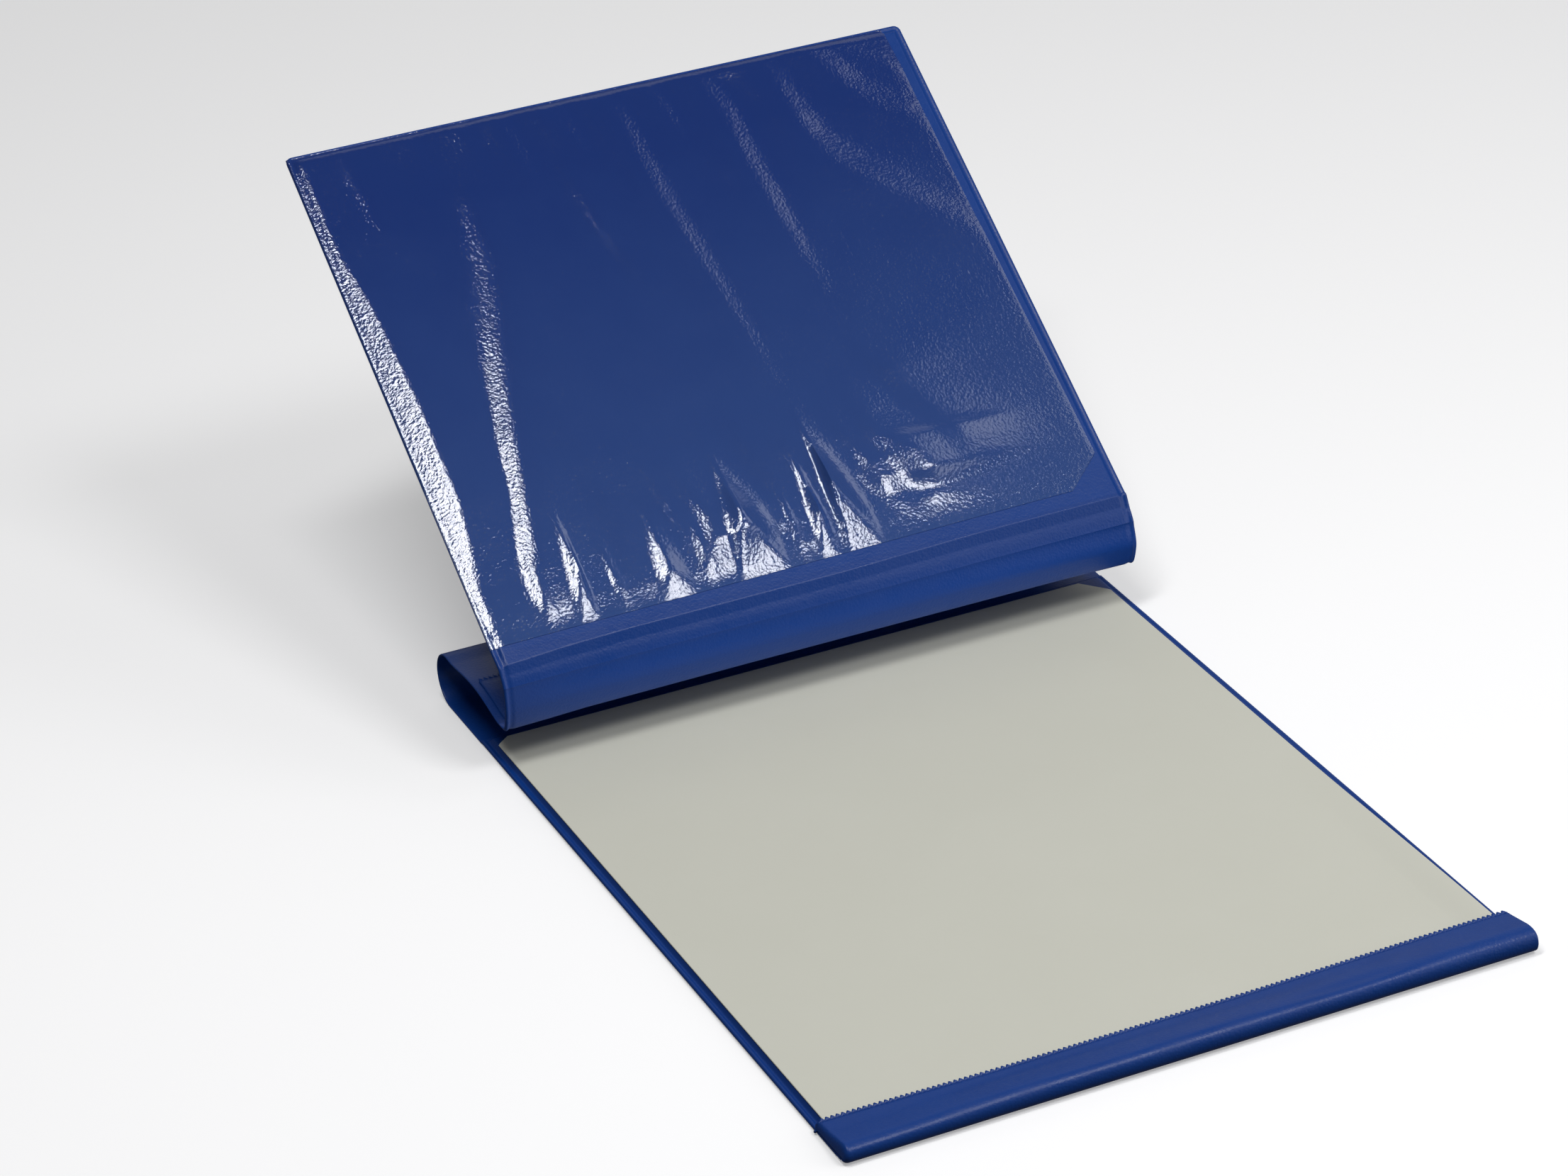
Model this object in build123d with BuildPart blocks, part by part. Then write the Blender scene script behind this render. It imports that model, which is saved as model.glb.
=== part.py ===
from build123d import *
import os
from math import asin, atan2, cos, degrees, radians, sin, tan

# A welded vinyl folder with a rolled back and a gusset that snaps shut over punched sheets.
# Millimetres. +X runs along the spine, +Y towards the rolled back, +Z up from the table.
# The origin is the centre of the flat underside, midway between the front roll and the back loop.

# Materials, as thicknesses
sheet = 0.7
board = 1.4
film = 0.25
card = 0.4

# Air left between pieces
bead_gap = 0.35
card_play = 0.1
board_play = 0.3
pocket_gap = 0.4
rivet_play = 0.05

# Lower panel
folder_width = 240.0
underside_depth = 312.0
base_rim = 2.5
base_board_start = 2.2
back_strip_depth = 32.3

# Front roll and flap
roll_radius = 3.5
flap_angle = 14.0
flap_depth = 17.2
tooth_pitch = 1.77
tooth_depth = 1.9
roll_wall = 1.2

# White card under the flap
card_left_margin = 3.0
card_right_margin = 4.0
card_start = 1.7
card_back_margin = 1.4
card_clip_left = (5.0, 4.1)
card_clip_right = (7.9, 9.7)
card_corner = 1.5

# Back loop and gusset
loop_radius = 10.0
gusset_depth = 52.55
gusset_angle = 2.6
tail_side_margin = 2.8
tail_cap_gap = 2.0

# Spine strip, an arc that bulges forward between two creases
bead_radius = 0.9
spine_width = 23.5
spine_angle = 83.9
spine_bulge_depth = 4.6

# Upper cover
cover_length = 210.5
cover_angle = 34.4
cover_rim = 2.8
crease_rim = 2.6
cover_corner = 2.5

# Clear pocket on the cover, open along its right side
film_inset = 1.0
film_weld = 1.1
film_bottom_left = 5.3
film_bottom_right = 8.0
film_right_bottom = 4.6
film_right_top = 7.5
film_clip = (14.1, 12.2)

# Press studs
snap_pitch = 80.0
snap_setback = 36.8
cap_radius = 5.0
cap_edge = 0.5
cap_height = 1.4
post_radius = 1.5
socket_radius = 4.6
socket_height = 2.6
socket_roof = 0.8
socket_bore = 2.25
stud_flange_radius = 4.4
stud_flange = 0.6
stud_shoulder_radius = 2.8
stud_shoulder = 1.3
stud_neck_radius = 1.5
stud_neck = 0.4
stud_head_radius = 1.85
stud_head = 1.5
stud_head_round = 0.5
eyelet_flange = 0.3
eyelet_post = 2.0

os.makedirs("parts", exist_ok=True)


def finish(piece, name):
    """Label a finished piece and write its STEP file."""
    piece.part.label = name
    export_step(piece.part, f"parts/{name}.step")


def polar(centre, radius, angle):
    """Point of a circle in the side view, as (y, z), at an angle in degrees."""
    return (centre[0] + radius * cos(radians(angle)), centre[1] + radius * sin(radians(angle)))


def toothed_sheet(width, depth):
    """Outline of a flat sheet from y = 0, whose far edge is cut into pinked teeth."""
    count = round(width / tooth_pitch)
    step = width / count
    teeth = []
    for index in range(count):
        left = -width / 2 + index * step
        teeth.append((left, depth - tooth_depth))
        teeth.append((left + step / 2, depth))
    return [(-width / 2, 0), *teeth, (width / 2, depth - tooth_depth), (width / 2, 0)]


# Places worked out from the sizes, in the side view as (y, z)
half_width = folder_width / 2
front_y = -underside_depth / 2
back_y = underside_depth / 2
panel_top = 2 * sheet + board
rim_top = 2 * sheet
board_front = front_y + base_board_start
board_depth = underside_depth - base_board_start - back_strip_depth
board_back = board_front + board_depth
tail_depth = snap_setback - cap_radius - tail_cap_gap
card_bottom = panel_top + card_play
card_top = card_bottom + card

loop_centre = (back_y, loop_radius)
loop_top = polar(loop_centre, loop_radius, 90 + gusset_angle)
gusset_run = loop_top[0] - back_y + gusset_depth
fold = (back_y - gusset_depth, loop_top[1] - gusset_run * tan(radians(gusset_angle)))
gusset_length = gusset_run / cos(radians(gusset_angle))
crease = polar(fold, spine_width, spine_angle)

side_view = Plane.YZ
gusset_plane = Plane(
    origin=(0, fold[0], fold[1]),
    x_dir=(1, 0, 0),
    z_dir=(0, -sin(radians(gusset_angle)), cos(radians(gusset_angle))),
)
cover_plane = Plane(
    origin=(0, crease[0], crease[1]),
    x_dir=(1, 0, 0),
    z_dir=(0, -sin(radians(cover_angle)), cos(radians(cover_angle))),
)

# The studs stand under the middle of the sockets' bores when the gusset is pressed down
socket_drop = (sheet + (socket_height + socket_roof) / 2) * sin(radians(gusset_angle))
stud_y = fold[0] + snap_setback * cos(radians(gusset_angle)) + socket_drop
stud_places = [(-snap_pitch / 2, stud_y), (snap_pitch / 2, stud_y)]
cap_places = [(-snap_pitch / 2, snap_setback), (snap_pitch / 2, snap_setback)]


# Lower sheet of the lower panel, with the flexible strip behind the board
with BuildPart() as base_outer_skin:
    with BuildSketch(Plane.XY):
        Rectangle(folder_width, underside_depth)
        with Locations(*stud_places):
            Circle(post_radius + rivet_play, mode=Mode.SUBTRACT)
    extrude(amount=sheet)
    with BuildSketch(Plane.XY):
        with Locations(*stud_places):
            Circle(stud_flange_radius + rivet_play)
    extrude(amount=eyelet_flange, mode=Mode.SUBTRACT)
finish(base_outer_skin, "base_outer_skin")


# Stiff board sealed between the two sheets
with BuildPart() as base_core_board:
    with BuildSketch(Plane.XY.offset(sheet)):
        with Locations((0, board_front)):
            Rectangle(
                folder_width - 2 * (base_rim + sheet + board_play),
                board_depth,
                align=(Align.CENTER, Align.MIN),
            )
    extrude(amount=board)
finish(base_core_board, "base_core_board")


# Upper sheet of the lower panel, raised over the board and welded down round it
with BuildPart() as base_inner_skin:
    pocket_front = board_front - board_play
    pocket_depth = board_depth + 2 * board_play
    with BuildSketch(Plane.XY.offset(sheet)):
        with Locations((0, front_y)):
            Rectangle(
                folder_width,
                pocket_front + pocket_depth + sheet + base_rim - front_y,
                align=(Align.CENTER, Align.MIN),
            )
    extrude(amount=sheet)
    with BuildSketch(Plane.XY.offset(sheet)):
        with Locations((0, pocket_front - sheet)):
            Rectangle(
                folder_width - 2 * base_rim,
                pocket_depth + 2 * sheet,
                align=(Align.CENTER, Align.MIN),
            )
    extrude(amount=board + sheet)
    with BuildSketch(Plane.XY.offset(sheet)):
        with Locations((0, pocket_front)):
            Rectangle(
                folder_width - 2 * (base_rim + sheet),
                pocket_depth,
                align=(Align.CENTER, Align.MIN),
            )
    extrude(amount=board, mode=Mode.SUBTRACT)
finish(base_inner_skin, "base_inner_skin")


# Vinyl rolled round the front edge and back over the card, with a toothed edge. Its left end is closed.
roll_centre = (front_y, roll_radius)
roll_middle = roll_radius - sheet / 2
flap_level = card_top + card_play + sheet / 2
flap_start = polar(roll_centre, roll_middle, 90 - flap_angle)
flap_bend = (flap_start[0] + (flap_start[1] - flap_level) / tan(radians(flap_angle)), flap_level)
flap_edge = front_y + flap_depth
with BuildPart() as front_flap:
    with BuildSketch(side_view):
        with BuildLine() as flap_path:
            CenterArc(roll_centre, roll_middle, 270, -180 - flap_angle)
            Polyline(flap_start, flap_bend, (flap_edge, flap_level))
        trace(flap_path.edges(), line_width=sheet)
    extrude(amount=half_width, both=True)
    with BuildSketch(Plane.XY.offset(flap_level - sheet)):
        with Locations((0, front_y)):
            Rectangle(2 * folder_width, 2 * folder_width, align=(Align.CENTER, Align.MIN))
            Polygon(*toothed_sheet(folder_width, flap_depth), align=None, mode=Mode.SUBTRACT)
    extrude(amount=2 * sheet, mode=Mode.SUBTRACT)
    wall_start = 180 + degrees(asin((roll_radius - rim_top) / roll_middle))
    wall_foot = polar(roll_centre, roll_middle, wall_start)
    with BuildSketch(Plane.YZ.offset(-half_width)):
        with BuildLine():
            CenterArc(roll_centre, roll_middle, wall_start, 90 - flap_angle - wall_start)
            Polyline(
                flap_start,
                flap_bend,
                (flap_edge - tooth_depth, flap_level),
                (flap_edge - tooth_depth, rim_top),
                wall_foot,
            )
        make_face()
    extrude(amount=roll_wall)
finish(front_flap, "front_flap")


# White card that slides out to the right, clipped at its two back corners
with BuildPart() as white_card:
    card_left = -half_width + card_left_margin
    card_right = half_width - card_right_margin
    card_front = front_y + card_start
    card_back = board_back - card_back_margin
    with BuildSketch(Plane.XY.offset(card_bottom)) as card_outline:
        Polygon(
            (card_left, card_front),
            (card_right, card_front),
            (card_right, card_back - card_clip_right[1]),
            (card_right - card_clip_right[0], card_back),
            (card_left + card_clip_left[0], card_back),
            (card_left, card_back - card_clip_left[1]),
            align=None,
        )
        fillet(card_outline.vertices().group_by(Axis.Y)[0], radius=card_corner)
    extrude(amount=card)
finish(white_card, "white_card")


# Vinyl of the back strip, rolled up and forward into an open tube
with BuildPart() as back_loop:
    with BuildSketch(side_view):
        with BuildLine() as loop_path:
            CenterArc(loop_centre, loop_radius - sheet / 2, -90, 180 + gusset_angle)
        trace(loop_path.edges(), line_width=sheet)
    extrude(amount=half_width, both=True)
finish(back_loop, "back_loop")


# Vinyl from the loop forward to the fold, with holes for the caps' posts
with BuildPart() as gusset_panel:
    with BuildSketch(gusset_plane):
        Rectangle(folder_width, gusset_length - bead_gap, align=(Align.CENTER, Align.MIN))
        with Locations(*cap_places):
            Circle(post_radius + rivet_play, mode=Mode.SUBTRACT)
    extrude(amount=-sheet)
    with BuildSketch(side_view):
        with Locations(fold):
            Circle(bead_radius + bead_gap)
    extrude(amount=folder_width, both=True, mode=Mode.SUBTRACT)
finish(gusset_panel, "gusset_panel")


# End of the cover's sheet, laid back on the gusset, with a toothed edge
with BuildPart() as cover_tail_strip:
    with BuildSketch(gusset_plane):
        Polygon(*toothed_sheet(folder_width - 2 * tail_side_margin, tail_depth), align=None)
    extrude(amount=sheet)
    with BuildSketch(side_view):
        with Locations(fold):
            Circle(bead_radius + bead_gap)
    extrude(amount=folder_width, both=True, mode=Mode.SUBTRACT)
finish(cover_tail_strip, "cover_tail_strip")


# Arc of the spine strip in the side view
spine_radius = (spine_width**2 / 4 + spine_bulge_depth**2) / (2 * spine_bulge_depth)
spine_middle = polar(fold, spine_width / 2, spine_angle)
spine_centre = polar(spine_middle, spine_radius - spine_bulge_depth, spine_angle - 90)
fold_angle = degrees(atan2(fold[1] - spine_centre[1], fold[0] - spine_centre[0])) % 360
crease_angle = degrees(atan2(crease[1] - spine_centre[1], crease[0] - spine_centre[0])) % 360


# Front sheet of the spine strip, whose lower end is the bead that the front fold turns about
with BuildPart() as spine_front_skin:
    with BuildSketch(side_view):
        with BuildLine() as front_arc:
            CenterArc(spine_centre, spine_radius + sheet / 2, fold_angle, crease_angle - fold_angle)
        trace(front_arc.edges(), line_width=sheet)
        with Locations(crease):
            Circle(bead_radius, mode=Mode.SUBTRACT)
        with Locations(fold):
            Circle(bead_radius)
    extrude(amount=half_width, both=True)
finish(spine_front_skin, "spine_front_skin")


# Back sheet of the spine strip, whose upper end is the bead that the cover turns about
with BuildPart() as spine_back_skin:
    with BuildSketch(side_view):
        with BuildLine() as back_arc:
            CenterArc(spine_centre, spine_radius - sheet / 2, fold_angle, crease_angle - fold_angle)
        trace(back_arc.edges(), line_width=sheet)
        with Locations(fold):
            Circle(bead_radius, mode=Mode.SUBTRACT)
        with Locations(crease):
            Circle(bead_radius)
    extrude(amount=half_width, both=True)
finish(spine_back_skin, "spine_back_skin")


def cover_skin(side):
    """One sheet of the cover: flat welded rim, raised over half the board. side is 1 or -1."""
    with BuildPart() as skin:
        with BuildSketch(cover_plane) as outline:
            Rectangle(folder_width, cover_length, align=(Align.CENTER, Align.MIN))
            fillet(outline.vertices().group_by(Axis.Y)[-1], radius=cover_corner)
        extrude(amount=side * sheet)
        with BuildSketch(cover_plane):
            with Locations((0, crease_rim)):
                Rectangle(
                    folder_width - 2 * cover_rim,
                    cover_length - crease_rim - cover_rim,
                    align=(Align.CENTER, Align.MIN),
                )
        extrude(amount=side * (board / 2 + sheet))
        with BuildSketch(cover_plane):
            with Locations((0, crease_rim + sheet)):
                Rectangle(
                    folder_width - 2 * (cover_rim + sheet),
                    cover_length - crease_rim - cover_rim - 2 * sheet,
                    align=(Align.CENTER, Align.MIN),
                )
        extrude(amount=side * board / 2, mode=Mode.SUBTRACT)
        with BuildSketch(side_view):
            with Locations(crease):
                Circle(bead_radius + bead_gap)
        extrude(amount=folder_width, both=True, mode=Mode.SUBTRACT)
    return skin


cover_front_skin = cover_skin(1)
finish(cover_front_skin, "cover_front_skin")

cover_back_skin = cover_skin(-1)
finish(cover_back_skin, "cover_back_skin")


# Stiff board sealed in the cover
with BuildPart() as cover_core_board:
    with BuildSketch(cover_plane.offset(-board / 2)):
        with Locations((0, crease_rim + sheet + board_play)):
            Rectangle(
                folder_width - 2 * (cover_rim + sheet + board_play),
                cover_length - crease_rim - cover_rim - 2 * (sheet + board_play),
                align=(Align.CENTER, Align.MIN),
            )
    extrude(amount=board)
finish(cover_core_board, "cover_core_board")


# Clear film over the cover's inside, welded down at the left, at the top and in a line along the bottom
with BuildPart() as pocket_film:
    cover_face = board / 2 + sheet
    film_under = cover_face + pocket_gap
    film_left = -half_width + film_inset
    film_top = cover_length - film_inset
    film_foot = (half_width - film_right_bottom - film_clip[0], film_bottom_right)
    film_outline = [
        (film_left, film_bottom_left),
        film_foot,
        (film_foot[0] + film_clip[0], film_foot[1] + film_clip[1]),
        (half_width - film_right_top, film_top),
        (film_left, film_top),
    ]
    with BuildSketch(cover_plane.offset(film_under)):
        Polygon(*film_outline, align=None)
    extrude(amount=film)
    rim_edge = -half_width + cover_rim
    with BuildSketch(cover_plane.offset(sheet)):
        Polygon(
            (film_left, film_bottom_left),
            (rim_edge, film_bottom_left),
            (rim_edge, cover_length - cover_rim),
            (half_width - film_right_top, cover_length - cover_rim),
            (half_width - film_right_top, film_top),
            (film_left, film_top),
            align=None,
        )
    extrude(amount=film_under - sheet)
    with BuildSketch(cover_plane.offset(cover_face)):
        Polygon(
            (rim_edge, film_bottom_left),
            film_foot,
            (film_foot[0], film_foot[1] + film_weld),
            (rim_edge, film_bottom_left + film_weld),
            align=None,
        )
    extrude(amount=pocket_gap)
finish(pocket_film, "pocket_film")


# Caps on the gusset, each with the post that its socket is clinched on
with BuildPart() as snap_caps:
    for place in cap_places:
        with BuildSketch(gusset_plane):
            with Locations(place):
                Circle(cap_radius)
        extrude(amount=cap_edge)
        with BuildSketch(gusset_plane):
            with Locations(place):
                Circle(post_radius)
        extrude(amount=-(sheet + socket_roof))
        with BuildSketch(gusset_plane.offset(cap_edge)):
            with Locations(place):
                Circle(cap_radius)
        extrude(amount=cap_height - cap_edge, taper=55)
finish(snap_caps, "snap_caps")


# Sockets under the gusset, open below
with BuildPart() as snap_sockets:
    for place in cap_places:
        with BuildSketch(gusset_plane.offset(-sheet)):
            with Locations(place):
                Circle(socket_radius)
                Circle(post_radius + rivet_play, mode=Mode.SUBTRACT)
        extrude(amount=-socket_roof)
        with BuildSketch(gusset_plane.offset(-sheet - socket_roof)):
            with Locations(place):
                Circle(socket_radius)
                Circle(socket_bore, mode=Mode.SUBTRACT)
        extrude(amount=-(socket_height - socket_roof))
finish(snap_sockets, "snap_sockets")


# Studs on the strip behind the board: flange, shoulder, neck and the rounded head that the socket grips
neck_base = sheet + stud_flange + stud_shoulder
head_base = neck_base + stud_neck
with BuildPart() as snap_studs:
    for place in stud_places:
        with BuildSketch(Plane.XY.offset(sheet)):
            with Locations(place):
                Circle(stud_flange_radius)
        extrude(amount=stud_flange)
        with BuildSketch(Plane.XY.offset(sheet + stud_flange)):
            with Locations(place):
                Circle(stud_shoulder_radius)
        extrude(amount=stud_shoulder)
        with BuildSketch(Plane.XY.offset(neck_base)):
            with Locations(place):
                Circle(stud_neck_radius)
        extrude(amount=stud_neck)
        with BuildSketch(Plane.XY.offset(head_base)):
            with Locations(place):
                Circle(stud_head_radius)
        extrude(amount=stud_head)
    fillet(snap_studs.edges().filter_by(GeomType.CIRCLE).group_by(Axis.Z)[-1], radius=stud_head_round)
    with BuildSketch(Plane.XY.offset(sheet)):
        with Locations(*stud_places):
            Circle(post_radius + rivet_play)
    extrude(amount=eyelet_post - sheet, mode=Mode.SUBTRACT)
finish(snap_studs, "snap_studs")


# Eyelets that rivet the studs from below, sunk into the lower sheet
with BuildPart() as snap_eyelets:
    with BuildSketch(Plane.XY):
        with Locations(*stud_places):
            Circle(stud_flange_radius)
    extrude(amount=eyelet_flange)
    with BuildSketch(Plane.XY):
        with Locations(*stud_places):
            Circle(post_radius)
    extrude(amount=eyelet_post)
finish(snap_eyelets, "snap_eyelets")
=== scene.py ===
import math

import bmesh
import bpy
import numpy as np
from mathutils import Matrix, Vector


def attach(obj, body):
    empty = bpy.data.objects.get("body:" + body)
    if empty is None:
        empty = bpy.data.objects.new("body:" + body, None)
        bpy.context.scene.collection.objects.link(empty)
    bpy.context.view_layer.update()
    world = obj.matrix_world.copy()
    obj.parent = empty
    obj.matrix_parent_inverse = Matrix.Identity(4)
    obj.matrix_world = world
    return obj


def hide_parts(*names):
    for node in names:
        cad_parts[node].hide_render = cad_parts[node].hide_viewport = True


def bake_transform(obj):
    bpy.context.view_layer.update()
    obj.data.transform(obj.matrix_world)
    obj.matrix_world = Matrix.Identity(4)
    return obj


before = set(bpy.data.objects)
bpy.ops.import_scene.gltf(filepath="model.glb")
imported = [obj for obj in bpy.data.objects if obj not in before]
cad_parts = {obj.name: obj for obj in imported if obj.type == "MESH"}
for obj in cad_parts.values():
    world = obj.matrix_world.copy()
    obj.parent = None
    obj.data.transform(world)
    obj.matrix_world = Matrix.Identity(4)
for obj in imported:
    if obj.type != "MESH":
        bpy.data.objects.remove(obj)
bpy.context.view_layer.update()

# Everything below is worked out in millimetres and written to the meshes in metres.
MM = 0.001

# Sizes of the part that the visible shapes follow. Lower panel and the roll behind it:
HALF = 120.0
FRONT, BACK = -156.0, 156.0
BASE_SEAM = 126.75
BASE_END = 127.2
PANEL_RISE = 2.1
LOOP_Z, LOOP_R = 10.0, 10.0
# Front fold, gusset and the tail on it, with places in the side view as (y, z)
FOLD = (103.45, 17.624)
GUSSET_TILT = math.radians(2.6)
FOLD_SEAM = 107.65
TAIL_END = 133.2
TAIL_INSET = 2.8
# Crease and cover
CREASE = (105.947, 40.991)
COVER_TILT = math.radians(34.4)
COVER_START = 3.0
COVER_LENGTH = 210.5
COVER_HALF = 1.4
CORNER = 2.5
# Vinyl: the sheet, a skin over a board, the bead and the thin weld along an edge, the pinked teeth
SHEET = 0.7
HALF_SHEET = SHEET / 2
SKIN = 0.66
BEAD, WELD = 0.8, 0.45
PITCH = 1.77
TOOTH = 1.9
TOOTH_COLUMNS = 6
# Film: its left and upper edges on the cover, and its foot at the left and how far that rises
FILM_LEFT = -119.95
FILM_TOP = 209.5
FILM_FOOT, FILM_FOOT_RISE = 5.3, 2.7
# Snaps: caps across and along the gusset, studs across and along the table
CAPS = [(-40.0, 36.8), (40.0, 36.8)]
STUDS = [(-40.0, 140.33), (40.0, 140.33)]


# Shapes as numbers


def smooth(t):
    """0 at t = 0 rising to 1 at t = 1, level at both ends."""
    t = np.clip(t, 0.0, 1.0)
    return t * t * (3.0 - 2.0 * t)


def quarter(t):
    """0 at t = 0 rising as a quarter circle to 1 at t = 1."""
    t = np.clip(t, 0.0, 1.0)
    return np.sqrt(1.0 - (1.0 - t) ** 2)


def lines(low, high, step, dense_low=True, dense_high=True):
    """Grid lines from low to high, close together near the edges that are dense."""
    near = np.array([0.0, 0.1, 0.25, 0.5, 0.8, 1.1, 1.4, 1.7, 2.0, 2.4, 2.8, 3.2, 3.6, 4.0, 5.0])
    start = low + near if dense_low else np.array([low])
    stop = high - near[::-1] if dense_high else np.array([high])
    count = max(2, int((stop[0] - start[-1]) / step) + 1)
    return np.concatenate([start, np.linspace(start[-1], stop[0], count)[1:-1], stop])


def path(points, count, spread=None):
    """Smooth curve through side-view points, as count points evenly spaced along it."""
    p = np.array(points, float)
    p = np.vstack([2 * p[0] - p[1], p, 2 * p[-1] - p[-2]])
    out = []
    for a, b, c, d in zip(p, p[1:], p[2:], p[3:]):
        for t in np.linspace(0, 1, 24, endpoint=False):
            bend = (2 * a - 5 * b + 4 * c - d) * t**2
            turn = (3 * b - a - 3 * c + d) * t**3
            out.append(0.5 * (2 * b + (c - a) * t + bend + turn))
    out = np.array(out + [p[-2]])
    along = np.concatenate([[0], np.cumsum(np.linalg.norm(np.diff(out, axis=0), axis=1))])
    along /= along[-1]
    at = np.linspace(0, 1, count) if spread is None else spread
    return np.stack([np.interp(at, along, out[:, 0]), np.interp(at, along, out[:, 1])], axis=1)


def rim(d, plateau):
    """Half thickness at d from a welded edge: a round bead, the thin weld, then the rise over the board."""
    bead = 0.78 * np.sqrt(np.clip(1.0 - ((d - BEAD) / BEAD) ** 2, 0.0, 1.0))
    edge = np.where(d < BEAD, bead, np.maximum(bead, WELD))
    return edge + (plateau - WELD) * smooth((d - 1.9) / 1.7)


def open_end(count):
    """0 on the last of count rows, rising to 1 on the second row before it."""
    return np.clip(np.arange(count)[None, ::-1] / 1.5, 0, 1)


def normals(grid):
    """Unit normals at the points of a grid."""
    du = np.gradient(grid, axis=0)
    dv = np.gradient(grid, axis=1)
    n = np.cross(du, dv)
    return n / np.maximum(np.linalg.norm(n, axis=2, keepdims=True), 1e-12)


def thicken(surface, up, down, flip=1.0):
    """The two faces of a sheet that has surface between them."""
    n = normals(surface) * flip
    return surface + n * up[..., None], surface - n * down[..., None]


# Meshes


def mesh_piece(name, verts, faces, material, sharp=40.0):
    """Object from points in millimetres. Edges steeper than sharp, in degrees, stay sharp."""
    mesh = bpy.data.meshes.new(name)
    mesh.from_pydata([tuple(v) for v in np.asarray(verts) * MM], [], faces)
    bm = bmesh.new()
    bm.from_mesh(mesh)
    bmesh.ops.remove_doubles(bm, verts=bm.verts, dist=2e-6)
    bmesh.ops.dissolve_degenerate(bm, edges=bm.edges, dist=1e-6)
    bmesh.ops.recalc_face_normals(bm, faces=bm.faces)
    bm.to_mesh(mesh)
    bm.free()
    mesh.polygons.foreach_set("use_smooth", [True] * len(mesh.polygons))
    mesh.set_sharp_from_angle(angle=math.radians(sharp))
    mesh.materials.append(material)
    piece = bpy.data.objects.new(name, mesh)
    bpy.context.scene.collection.objects.link(piece)
    return piece


def grid_faces(n, m, offset, reverse):
    faces = []
    for i in range(n - 1):
        for j in range(m - 1):
            a = offset + i * m + j
            quad = (a, a + m, a + m + 1, a + 1)
            faces.append(quad[::-1] if reverse else quad)
    return faces


def sheet_piece(name, outer, inner, material, sharp=40.0):
    """Closed sheet from the two grids of points on its faces."""
    n, m = outer.shape[:2]
    verts = np.concatenate([outer.reshape(-1, 3), inner.reshape(-1, 3)])
    second = n * m
    faces = grid_faces(n, m, 0, False) + grid_faces(n, m, second, True)
    ring = [(i, 0) for i in range(n)] + [(n - 1, j) for j in range(1, m)]
    ring += [(i, m - 1) for i in range(n - 2, -1, -1)] + [(0, j) for j in range(m - 2, 0, -1)]
    index = [i * m + j for i, j in ring]
    for a, b in zip(index, index[1:] + index[:1]):
        faces.append((a, b, b + second, a + second))
    return mesh_piece(name, verts, faces, material, sharp)


def lathe(profile, centres, tilt, segments=56):
    """Closed profile of (radius, height) points turned about an axis at each centre, tilted about x."""
    verts, faces = [], []
    turn = np.array([[1, 0, 0], [0, math.cos(tilt), -math.sin(tilt)], [0, math.sin(tilt), math.cos(tilt)]])
    count = len(profile)
    for centre in centres:
        base = len(verts)
        for k in range(segments):
            a = 2 * math.pi * k / segments
            for radius, height in profile:
                point = turn @ np.array([radius * math.cos(a), radius * math.sin(a), height])
                verts.append(point + np.array(centre))
        for k in range(segments):
            here, there = base + k * count, base + (k + 1) % segments * count
            for i in range(count):
                j = (i + 1) % count
                faces.append((here + i, there + i, there + j, here + j))
    return np.array(verts), faces


# Materials


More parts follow.
